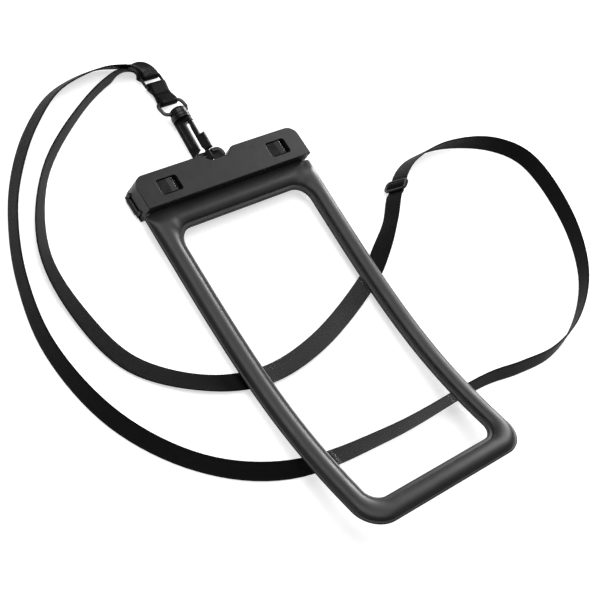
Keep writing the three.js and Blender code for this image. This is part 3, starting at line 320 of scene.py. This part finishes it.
class Nodes:
    """A material's node tree, with short calls for the nodes that the finishes share."""

    def __init__(self, name):
        self.material = bpy.data.materials.new(name)
        self.material.use_nodes = True
        self.tree = self.material.node_tree
        self.shader = self.tree.nodes["Principled BSDF"]
        self.coordinates = self.tree.nodes.new("ShaderNodeTexCoord")

    def make(self, kind, **values):
        node = self.tree.nodes.new(kind)
        for key, value in values.items():
            setattr(node, key, value)
        return node

    def link(self, output, target):
        self.tree.links.new(output, target)

    def noise(self, scale, detail=2):
        node = self.make("ShaderNodeTexNoise")
        node.inputs["Scale"].default_value = scale
        node.inputs["Detail"].default_value = detail
        self.link(self.coordinates.outputs["Object"], node.inputs["Vector"])
        return node.outputs["Fac"]

    def ramp(self, factor, *stops):
        """stops are (place, grey or colour)."""
        node = self.make("ShaderNodeValToRGB")
        elements = node.color_ramp.elements
        while len(elements) < len(stops):
            elements.new(0.5)
        for element, (place, value) in zip(elements, stops):
            colour = (value, value, value) if isinstance(value, (int, float)) else value
            element.position = place
            element.color = (*colour, 1)
        self.link(factor, node.inputs["Fac"])
        return node.outputs["Color"]

    def bump(self, height, distance, strength=1.0, normal=None):
        node = self.make("ShaderNodeBump")
        node.inputs["Strength"].default_value = strength
        node.inputs["Distance"].default_value = distance
        self.link(height, node.inputs["Height"])
        if normal is not None:
            self.link(normal, node.inputs["Normal"])
        return node.outputs["Normal"]

    def rounded(self, radius):
        """A normal that rounds the edges of a solid."""
        node = self.make("ShaderNodeBevel", samples=6)
        node.inputs["Radius"].default_value = radius
        return node.outputs["Normal"]

    def set(self, **values):
        for key, value in values.items():
            self.shader.inputs[key.replace("_", " ")].default_value = value


def moulded(name, colour, roughness, grain=0.00001, radius=0.0003):
    """Satin moulded plastic: rounded edges, a fine grain and slight changes of gloss."""
    n = Nodes(name)
    dark, light = colour * 0.85, colour * 1.15
    n.link(n.ramp(n.noise(90, 4), (0.3, dark), (0.7, light)), n.shader.inputs["Base Color"])
    n.link(
        n.ramp(n.noise(260, 3), (0.3, roughness - 0.05), (0.7, roughness + 0.05)),
        n.shader.inputs["Roughness"],
    )
    normal = n.bump(n.noise(5200, 2), grain, normal=n.rounded(radius))
    n.link(normal, n.shader.inputs["Normal"])
    n.set(Specular_IOR_Level=0.25)
    return n.material


def soft_film(name):
    """The pouch's padded black film: soft sheen, fine leathery grain and faint swells."""
    n = Nodes(name)
    n.link(n.ramp(n.noise(45, 3), (0.3, 0.013), (0.75, 0.017)), n.shader.inputs["Base Color"])
    n.link(n.ramp(n.noise(160, 4), (0.3, 0.38), (0.7, 0.46)), n.shader.inputs["Roughness"])
    cells = n.make("ShaderNodeTexVoronoi", feature="DISTANCE_TO_EDGE")
    cells.inputs["Scale"].default_value = 2600
    n.link(n.coordinates.outputs["Object"], cells.inputs["Vector"])
    grain = n.bump(cells.outputs["Distance"], 0.00003, strength=0.35)
    n.link(n.bump(n.noise(70, 2), 0.0006, strength=0.15, normal=grain), n.shader.inputs["Normal"])
    n.set(Specular_IOR_Level=0.3)
    return n.material


def clear_film(name):
    """Clear flexible film: mostly see-through, with a soft milky haze."""
    n = Nodes(name)
    n.link(n.ramp(n.noise(18, 3), (0.3, 0.2), (0.7, 0.3)), n.shader.inputs["Base Color"])
    n.link(n.ramp(n.noise(40, 2), (0.3, 0.06), (0.7, 0.14)), n.shader.inputs["Roughness"])
    n.link(n.bump(n.noise(26, 2), 0.0004, strength=0.2), n.shader.inputs["Normal"])
    n.set(Alpha=0.03, Specular_IOR_Level=0.4)
    return n.material


def woven(name, colour):
    """Flat woven band with fine slanting ribs."""
    n = Nodes(name)
    place = n.make("ShaderNodeSeparateXYZ")
    n.link(n.coordinates.outputs["UV"], place.inputs["Vector"])
    across = n.make("ShaderNodeMath", operation="MULTIPLY")
    n.link(place.outputs["Y"], across.inputs[0])
    across.inputs[1].default_value = math.tau / (RIB_ACROSS * MM)
    along = n.make("ShaderNodeMath", operation="MULTIPLY")
    n.link(place.outputs["X"], along.inputs[0])
    along.inputs[1].default_value = math.tau / (RIB_ALONG * MM)
    phase = n.make("ShaderNodeMath", operation="ADD")
    n.link(across.outputs[0], phase.inputs[0])
    n.link(along.outputs[0], phase.inputs[1])
    ribs = n.make("ShaderNodeMath", operation="SINE")
    n.link(phase.outputs[0], ribs.inputs[0])
    tone = n.ramp(n.noise(2200, 2), (0.3, colour * 0.75), (0.75, colour * 1.35))
    n.link(tone, n.shader.inputs["Base Color"])
    n.link(n.bump(ribs.outputs[0], 0.00005, strength=0.6), n.shader.inputs["Normal"])
    n.set(Roughness=0.55, Specular_IOR_Level=0.06)
    n.set(Sheen_Weight=0.01, Sheen_Roughness=0.4)
    return n.material


def coated_wire(name):
    """Glossy black coat on the ring's wire."""
    n = Nodes(name)
    n.link(n.ramp(n.noise(400, 3), (0.3, 0.010), (0.7, 0.018)), n.shader.inputs["Base Color"])
    n.link(n.ramp(n.noise(900, 2), (0.3, 0.22), (0.7, 0.34)), n.shader.inputs["Roughness"])
    n.set(Specular_IOR_Level=0.7)
    return n.material


def drawn_steel(name):
    """Bright steel of the hinge pin."""
    n = Nodes(name)
    n.link(n.ramp(n.noise(800, 3), (0.3, 0.34), (0.7, 0.46)), n.shader.inputs["Base Color"])
    n.link(n.ramp(n.noise(1500, 2), (0.3, 0.3), (0.7, 0.42)), n.shader.inputs["Roughness"])
    n.set(Metallic=1.0)
    return n.material


CLIP = moulded("clip_plastic", 0.012, 0.42)
LATCH = moulded("latch_plastic", 0.008, 0.22, radius=0.00025)
HOOK = moulded("hook_plastic", 0.008, 0.3, radius=0.0004)
PAD = soft_film("padded_film")
FILM = clear_film("clear_film")
SEAL = moulded("seal_rubber", 0.008, 0.7, grain=0.00002)
BAND = woven("woven_band", 0.004)
WIRE = coated_wire("coated_wire")
STEEL = drawn_steel("drawn_steel")


def dress(material, *nodes):
    """Gives CAD nodes a material."""
    for node in nodes:
        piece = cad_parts[node]
        piece.data.materials.clear()
        piece.data.materials.append(material)


dress(CLIP, "clip_rear_bar", "clip_front_cover")
dress(LATCH, "latch_left", "latch_right")
dress(HOOK, "hook_body", "hook_gate", "swivel_head", "strap_loop", "strap_slide")
dress(SEAL, "rear_gasket", "front_gasket")
dress(STEEL, "clip_hinge_pin")


# Neck strap


def run_knots(run):
    """Centre and direction across the band at each point of a run."""
    knots = []
    for i, (x, y, lean, room) in enumerate(run):
        before, after = run[max(i - 1, 0)], run[min(i + 1, len(run) - 1)]
        along = unit(np.array((after[0] - before[0], after[1] - before[1])))
        c, s = math.cos(math.radians(lean)), math.sin(math.radians(lean))
        rise = (STRAP_W * abs(s) + STRAP_T * abs(c)) / 2
        knots.append((np.array((x, y, rise + room)), np.array((-along[1] * c, along[0] * c, s))))
    return knots


RING_FAR_Y = RING_Y + (RING_L - 2 * RING_WIRE_R) * math.cos(math.radians(RING_TILT))
RING_FAR_Z = RING_Z - (RING_L - 2 * RING_WIRE_R) * math.sin(math.radians(RING_TILT))
LINK_TILT = math.atan2(LINK_FAR_Z - RING_FAR_Z, LINK_Y1 - RING_FAR_Y)


def fold_knots():
    """Half a turn round the loop's far bar."""
    bar_y = LINK_Y1 + (LOOP_L - LOOP_BAR) * math.cos(LINK_TILT)
    bar_z = LINK_FAR_Z + (LOOP_L - LOOP_BAR) * math.sin(LINK_TILT)
    radius = math.hypot(LOOP_BAR / 2, LOOP_T / 2 - LOOP_BEVEL) + STRAP_FOLD + STRAP_T / 2
    across = np.array((-1.0, 0.0, 0.0))
    angles = [math.pi * (0.5 + i / FOLD_STEPS) for i in range(FOLD_STEPS + 1)]
    return [
        (np.array((LOOP_X, bar_y + radius * math.cos(a), bar_z + radius * math.sin(a))), across)
        for a in angles
    ]


def thread_knots(outer, inner):
    """Over one end bar of the slide, under its middle bar and over its other end bar."""
    y = unit(outer[-1][0] - inner[0][0])
    x = -(outer[-1][1] + inner[0][1])
    x = unit(x - y * x.dot(y))
    z = np.cross(x, y)
    centre = (outer[-1][0] + inner[0][0]) / 2 - z * SLIDE_DROP
    off = SLIDE_T / 2 + GAP + STRAP_T / 2
    end = SLIDE_L / 2
    inside = end - SLIDE_BAR
    half = [
        (SLIDE_BAR / 2 + THREAD_PAST, THREAD_EASE - off), (inside - THREAD_PAST, off - THREAD_EASE),
        (inside + THREAD_FLAT, off), (end, off),
    ]
    rows = [(a, up) for a, up in reversed(half)] + [(0, -off)] + [(-a, up) for a, up in half]
    return [(centre + y * a + z * up, -x) for a, up in rows]


def catmull(points, i, weight):
    """A point on the closed centripetal curve through the points, past the i-th by a weight."""
    count = len(points)
    p = [points[(i + k) % count] for k in (-1, 0, 1, 2)]
    gaps = [float(((b - a) ** 2).sum()) ** 0.25 for a, b in zip(p, p[1:])]
    gaps[1] = gaps[1] if gaps[1] >= SAME_PLACE else 1.0
    gaps[0] = gaps[0] if gaps[0] >= SAME_PLACE else gaps[1]
    gaps[2] = gaps[2] if gaps[2] >= SAME_PLACE else gaps[1]
    t1 = (p[1] - p[0]) / gaps[0] - (p[2] - p[0]) / (gaps[0] + gaps[1]) + (p[2] - p[1]) / gaps[1]
    t2 = (p[2] - p[1]) / gaps[1] - (p[3] - p[1]) / (gaps[1] + gaps[2]) + (p[3] - p[2]) / gaps[2]
    t1, t2 = t1 * gaps[1], t2 * gaps[1]
    c2 = 3 * (p[2] - p[1]) - 2 * t1 - t2
    c3 = 2 * (p[1] - p[2]) + t1 + t2
    return p[1] + weight * (t1 + weight * (c2 + weight * c3))


def strap_frames():
    """Centre, direction across and direction through the band, all the way round."""
    outer, inner, fold = run_knots(OUTER_RUN), run_knots(INNER_RUN), fold_knots()
    middle = len(fold) // 2
    start, end = fold[: middle + 1][::-1], fold[middle + 1 :][::-1]
    knots = start + outer + thread_knots(outer, inner) + inner + end
    centres = [k[0] for k in knots]
    leans = [k[1] for k in knots]
    samples = [(i, j / STRAP_STEPS) for i in range(len(knots)) for j in range(STRAP_STEPS)]
    places = np.array([catmull(centres, i, w) for i, w in samples])
    frames = []
    for n, (i, w) in enumerate(samples):
        along = unit(places[(n + 1) % len(places)] - places[n - 1])
        across = catmull(leans, i, w)
        across = unit(across - along * across.dot(along))
        frames.append((places[n], across, unit(np.cross(along, across))))
    return frames


def band_section():
    """The band's section: flat faces and rounded woven edges."""
    thick, flat = STRAP_T / 2, STRAP_W / 2 - STRAP_EDGE
    upper = [(u, thick) for u in np.linspace(flat, -flat, FACE_COLUMNS)]
    turns = np.linspace(*EDGE_TURNS, EDGE_STEPS)
    left = [(-flat - STRAP_EDGE * math.sin(a), thick * math.cos(a)) for a in turns]
    return [*upper, *left, *[(-u, -t) for u, t in upper], *[(-u, -t) for u, t in left]]


def band_uv(piece, count, places):
    """Lays the band's length on u and its width on v, in metres."""
    layer = piece.data.uv_layers.new(name="band")
    steps = np.linalg.norm(np.diff(places, axis=0, append=places[:1]), axis=1) * MM
    far = np.concatenate([[0], np.cumsum(steps)])
    section = band_section()
    rings = len(places)
    for face in piece.data.polygons:
        ring = [v // count for v in face.vertices]
        wraps = max(ring) - min(ring) > 1
        for corner, vertex in zip(face.loop_indices, face.vertices):
            i = vertex // count
            u = far[rings] if wraps and i == 0 else far[i]
            layer.data[corner].uv = (u, section[vertex % count][0] * MM)


def neck_strap():
    frames = strap_frames()
    section = band_section()
    rings = [[c + a * u + t * v for u, v in section] for c, a, t in frames]
    piece = lofted("neck_strap_band", rings, closed=True)
    places = np.array([c for c, _, _ in frames])
    band_uv(piece, len(section), places)
    finish_piece(piece, "pouch", "webbing", BAND, "neck_strap")


neck_strap()


# Ring and link


def ring_wire():
    tilt = math.radians(RING_TILT)
    normal = np.array((0, math.sin(tilt), math.cos(tilt)))
    half_w, half_l = RING_W / 2 - RING_WIRE_R, RING_L / 2 - RING_WIRE_R

    def at(angle):
        c, s = math.cos(angle), math.sin(angle)
        power = 2 / RING_SQUARE
        u = math.copysign(abs(c) ** power, c) * half_w
        v = math.copysign(abs(s) ** power, s) * half_l + half_l
        return np.array((RING_X + u, RING_Y + v * math.cos(tilt), RING_Z - v * math.sin(tilt)))

    rings = []
    turns = [math.tau * j / WIRE_SIDES for j in range(WIRE_SIDES)]
    for i in range(RING_STEPS):
        angle = math.tau * (i + 0.5) / RING_STEPS
        along = unit(at(angle + RING_PROBE) - at(angle - RING_PROBE))
        out = unit(np.cross(along, normal))
        spokes = [out * math.cos(a) + normal * math.sin(a) for a in turns]
        rings.append([at(angle) + RING_WIRE_R * spoke for spoke in spokes])
    piece = lofted("ring_wire", rings, closed=True)
    finish_piece(piece, "ring", "ring", WIRE, "strap_ring")


ring_wire()


def link_place(x, y, z):
    """A point of the link, from y along it and z off it."""
    c, s = math.cos(LINK_TILT), math.sin(LINK_TILT)
    return (LINK_X + x, RING_FAR_Y + y * c - z * s, RING_FAR_Z + y * s + z * c)


def link_half(name, centre, inner_end, sign):
    """Half of the link: a doubled band with an eye round centre, cut off at inner_end.

    sign is 1 where the band runs from the eye towards +y.
    """
    flat = WEB_T + LINK_BACK
    neck = centre + sign * 2 * EYE_OUT
    angles = np.linspace(-EYE_TURN, EYE_TURN, EYE_STEPS)[::sign]
    eye = [(centre - sign * EYE_OUT * math.cos(a), EYE_OUT * math.sin(a)) for a in angles]
    under, over = -sign * flat, sign * flat
    outline = [(inner_end, under), (neck, under), *eye, (neck, over), (inner_end, over)]
    turns = np.linspace(0, math.tau, HOLE_STEPS, endpoint=False)
    hole = [(centre + EYE_R * math.cos(a), EYE_R * math.sin(a)) for a in turns]
    columns = np.linspace(-WEB_W / 2, WEB_W / 2, LINK_COLUMNS)
    return solid_with_hole(name, outline, hole, columns, link_place)


def solid_with_hole(name, outline, hole, columns, place):
    """Extrudes an outline with a round hole along x, and joins wall to wall at the two ends."""
    points, faces = [], []
    for loop, inside in ((outline, False), (hole, True)):
        base = len(points)
        for x in columns:
            points += [place(x, y, z) for y, z in loop]
        count = len(loop)
        side = ring_faces(len(columns), count, False)[:-2]
        faces += [tuple(v + base for v in (f[::-1] if inside else f)) for f in side]
    mesh = bpy.data.meshes.new(name)
    mesh.from_pydata([tuple(c * MM for c in p) for p in points], [], faces)
    piece = bpy.data.objects.new(name, mesh)
    bpy.context.scene.collection.objects.link(piece)
    cap_ends(mesh, len(outline), len(hole), len(columns))
    mesh.shade_smooth()
    outward(piece)
    return piece


def cap_ends(mesh, outline_count, hole_count, columns):
    """Fills the two flat ends between outline and hole."""
    work = bmesh.new()
    work.from_mesh(mesh)
    work.verts.ensure_lookup_table()
    hole_base = outline_count * columns
    for column in (0, columns - 1):
        outer = [work.verts[column * outline_count + j] for j in range(outline_count)]
        inner = [work.verts[hole_base + column * hole_count + j] for j in range(hole_count)]
        edges = []
        for loop in (outer, inner):
            for a, b in zip(loop, loop[1:] + loop[:1]):
                edges.append(work.edges.get((a, b)) or work.edges.new((a, b)))
        bmesh.ops.triangle_fill(work, edges=edges, use_beauty=True)
    bmesh.ops.recalc_face_normals(work, faces=work.faces)
    work.to_mesh(mesh)
    work.free()


def web_uv(piece):
    """Lays the link's length on u and its width on v, in metres."""
    layer = piece.data.uv_layers.new(name="band")
    for face in piece.data.polygons:
        for corner, vertex in zip(face.loop_indices, face.vertices):
            co = piece.data.vertices[vertex].co
            layer.data[corner].uv = (co.y, co.x)


def link_webbing():
    reach = math.hypot(LINK_Y1 - RING_FAR_Y, LINK_FAR_Z - RING_FAR_Z)
    near = link_half("link_webbing_near", 0, reach / 2, 1)
    far = link_half("link_webbing_far", reach, reach / 2 + LINK_JOIN, -1)
    for piece in (near, far):
        web_uv(piece)
        finish_piece(piece, None, "webbing", BAND, "link_webbing")
    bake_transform(near)
    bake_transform(far)


link_webbing()


# Padded frames


def corner_points(centre, radius, steps):
    """A quarter circle from the side round to the lower end."""
    angles = [-math.pi / 2 * i / steps for i in range(1, steps + 1)]
    return [(centre[0] + radius * math.cos(a), centre[1] - radius * math.sin(a)) for a in angles]


def straight(a, b, steps):
    shares = [i / steps for i in range(1, steps + 1)]
    return [(a[0] + (b[0] - a[0]) * k, a[1] + (b[1] - a[1]) * k) for k in shares]


def rim_rows():
    """Pairs of an outer point and its partner on the window's edge, all the way round."""
    side, neck = POUCH_W / 2, NECK_W / 2
    window_side, window_low = side - RIM_W, POUCH_L - RIM_BOTTOM
    top_x, top_s = window_side - WINDOW_TOP_R, RIM_TOP + WINDOW_TOP_R
    low_outer, low_inner = POUCH_L - POUCH_CORNER, window_low - WINDOW_BOTTOM_R
    outer_corner = (side - POUCH_CORNER, low_outer)
    inner_corner = (window_side - WINDOW_BOTTOM_R, low_inner)
    shoulder = [
        (top_x, -NECK_IN), (neck - NECK_EDGE, -NECK_IN), (neck, -NECK_IN), (neck, -NECK_IN / 2),
        (neck, SHOULDER_S), (side - SHOULDER_W, SHOULDER_S + SHOULDER_CORNER),
        (side, SHOULDER_S + SHOULDER_W + SHOULDER_CORNER), (side, (SHOULDER_S + top_s) / 2), (side, top_s),
    ]
    pairs = [((0, -NECK_IN), (0, RIM_TOP))]
    pairs += zip(
        straight((0, -NECK_IN), (top_x, -NECK_IN), TOP_STEPS),
        straight((0, RIM_TOP), (top_x, RIM_TOP), TOP_STEPS),
    )
    known = np.linspace(0, 1, len(shoulder))
    for i in range(1, SHOULDER_STEPS + 1):
        k = i / SHOULDER_STEPS
        outer = tuple(np.interp(k, known, [p[c] for p in shoulder]) for c in (0, 1))
        a = math.pi / 2 * k
        inner = (top_x + WINDOW_TOP_R * math.sin(a), top_s - WINDOW_TOP_R * math.cos(a))
        pairs.append((outer, inner))
    pairs += zip(
        straight((side, top_s), (side, low_outer), SIDE_STEPS),
        straight((window_side, top_s), (window_side, low_inner), SIDE_STEPS),
    )
    pairs += zip(
        corner_points(outer_corner, POUCH_CORNER, CORNER_STEPS),
        corner_points(inner_corner, WINDOW_BOTTOM_R, CORNER_STEPS),
    )
    pairs += zip(
        straight((outer_corner[0], POUCH_L), (0, POUCH_L), BOTTOM_STEPS),
        straight((inner_corner[0], window_low), (0, window_low), BOTTOM_STEPS),
    )
    mirrored = [((-o[0], o[1]), (-i[0], i[1])) for o, i in reversed(pairs[1:-1])]
    return pairs + mirrored


def rim_height(depth, width):
    """Height of the rim at a depth from the window's edge: land, puffed padding and flat weld."""
    if depth <= LAND_W:
        return LAND_H - LAND_LIP * float(smoothstep(-depth, -LAND_LIP_W, 0))
    if depth >= width - WELD_W:
        return WELD_H - WELD_LIP * float(smoothstep(depth, width - WELD_LIP_W, width))
    across = (depth - LAND_W) / (width - LAND_W - WELD_W)
    foot = LAND_H + (WELD_H - LAND_H) * across
    return foot + (RIM_H - foot) * math.sqrt(max(0.0, 1 - abs(2 * across - 1) ** RIM_POWER))


PUFF_SHARES = (
    0, 0.004, 0.02, 0.05, 0.1, 0.17, 0.26, 0.37, 0.5, 0.63, 0.74, 0.83, 0.9, 0.95, 0.98, 0.996, 1,
)
BASE_SHARES = (0.3, 0.7, 0.97)


def rim_depths(width):
    """Depths from the window's edge at which the profile is drawn, from the outer seam inwards."""
    outer = width - WELD_W
    puff = outer - LAND_W
    weld = [width, width - LIP_STEP, width - WELD_LIP_W, outer + FOOT_STEP]
    land = [LAND_W - FOOT_STEP, LAND_W / 2, LAND_LIP_W, LIP_STEP, 0.0]
    return [*weld, *[outer - puff * share for share in PUFF_SHARES], *land]


def padded_frame(name, side, node):
    """A padded half of the pouch's border: side is 1 for the front and -1 for the rear."""
    rings = []
    base = SEAM_GAP / 2
    for outer, inner in rim_rows():
        width = math.dist(outer, inner)
        ring = []
        for depth in rim_depths(width):
            t = 1 - depth / width
            x = outer[0] + (inner[0] - outer[0]) * t
            s = outer[1] + (inner[1] - outer[1]) * t
            height = rim_height(depth, width)
            thin = min(height, base + NECK_T)
            rise = float(smoothstep(s, 0, RIM_RISE))
            ring.append(bent(x, s, side * (thin + (height - thin) * rise)))
        ring.append(bent(inner[0], inner[1], side * base))
        for share in BASE_SHARES:
            x = inner[0] + (outer[0] - inner[0]) * share
            s = inner[1] + (outer[1] - inner[1]) * share
            ring.append(bent(x, s, side * base))
        rings.append(ring)
    piece = lofted(name, rings, closed=True)
    finish_piece(piece, "pouch", "soft_frame", PAD, node)


padded_frame("front_padding", 1, "front_frame")
padded_frame("rear_padding", -1, "rear_frame")


# Windows


def corner_inset(radius, past):
    """How far a rounded corner draws the edge in, at a distance past the corner's centre."""
    return radius - math.sqrt(max(0.0, radius**2 - past**2))


def film(name, side, node):
    """A clear window inside its frame's edge, as a thin closed sheet."""
    half = POUCH_W / 2 - RIM_W - GAP
    top, low = RIM_TOP + GAP, POUCH_L - RIM_BOTTOM - GAP
    top_centre, low_centre = top + WINDOW_TOP_R, low - WINDOW_BOTTOM_R
    turns = 1 - np.cos(np.linspace(0, math.pi / 2, FILM_CORNER_STEPS))
    rows = np.concatenate([
        top + WINDOW_TOP_R * turns,
        np.linspace(top_centre, low_centre, FILM_STEPS)[1:-1],
        low - WINDOW_BOTTOM_R * turns[::-1],
    ])
    columns = np.linspace(-1, 1, FILM_COLUMNS)
    rings = []
    for s in rows:
        inset = 0.0
        if s < top_centre:
            inset = corner_inset(WINDOW_TOP_R, top_centre - s)
        if s > low_centre:
            inset = corner_inset(WINDOW_BOTTOM_R, s - low_centre)
        reach = half - inset
        near = [bent(c * reach, s, side * (FILM_MID - FILM_T / 2)) for c in columns]
        far = [bent(c * reach, s, side * (FILM_MID + FILM_T / 2)) for c in columns[::-1]]
        rings.append(near + far)
    finish_piece(lofted(name, rings), "pouch", "clear_film", FILM, node)


film("front_film", 1, "front_window")
film("rear_film", -1, "rear_window")


# Floor, world and lamps


def make_world():
    world = bpy.data.worlds.new("studio")
    world.use_nodes = True
    plain = world.node_tree.nodes["Background"]
    plain.inputs["Color"].default_value = (1, 1, 1, 1)
    plain.inputs["Strength"].default_value = WORLD_LEVEL
    bpy.context.scene.world = world


def make_floor():
    """A pale floor, white to camera, glossy and transmission rays, that keeps soft shadows."""
    corners = [(x * FLOOR_HALF, y * FLOOR_HALF, 0) for x, y in ((-1, -1), (1, -1), (1, 1), (-1, 1))]
    floor = mesh_piece("floor", corners, [(0, 1, 2, 3)])
    material = bpy.data.materials.new("floor")
    material.use_nodes = True
    tree = material.node_tree
    shader = tree.nodes["Principled BSDF"]
    shader.inputs["Base Color"].default_value = (0.8, 0.8, 0.8, 1)
    shader.inputs["Roughness"].default_value = 0.9
    shader.inputs["Specular IOR Level"].default_value = 0.0
    path = tree.nodes.new("ShaderNodeLightPath")
    seen = path.outputs["Is Camera Ray"]
    for kind in ("Is Glossy Ray", "Is Transmission Ray"):
        either = tree.nodes.new("ShaderNodeMath")
        either.operation = "MAXIMUM"
        tree.links.new(seen, either.inputs[0])
        tree.links.new(path.outputs[kind], either.inputs[1])
        seen = either.outputs[0]
    level = tree.nodes.new("ShaderNodeMath")
    level.operation = "MULTIPLY"
    level.inputs[1].default_value = FLOOR_GLOW
    tree.links.new(seen, level.inputs[0])
    shader.inputs["Emission Color"].default_value = (1, 1, 1, 1)
    tree.links.new(level.outputs[0], shader.inputs["Emission Strength"])
    floor.data.materials.append(material)
    floor.location.z = -FLOOR_DROP * MM


def make_lamp(name, at, size, power):
    data = bpy.data.lights.new(name, "AREA")
    data.shape = "RECTANGLE"
    data.size, data.size_y = size
    data.energy = power
    lamp = bpy.data.objects.new(name, data)
    lamp.location = at
    lamp.rotation_euler = (Vector(LAMP_AIM) - Vector(at)).to_track_quat("-Z", "Y").to_euler()
    bpy.context.scene.collection.objects.link(lamp)


make_world()
make_floor()
make_lamp("key", (-0.3, 0.6, 1.0), (0.8, 0.8), 6)
make_lamp("side", (0.85, 0.25, 0.22), (0.12, 0.5), 8)
make_lamp("top", (0.1, 0.1, 1.3), (1.2, 1.2), 12)

scene = bpy.context.scene
scene.view_settings.view_transform = "Standard"
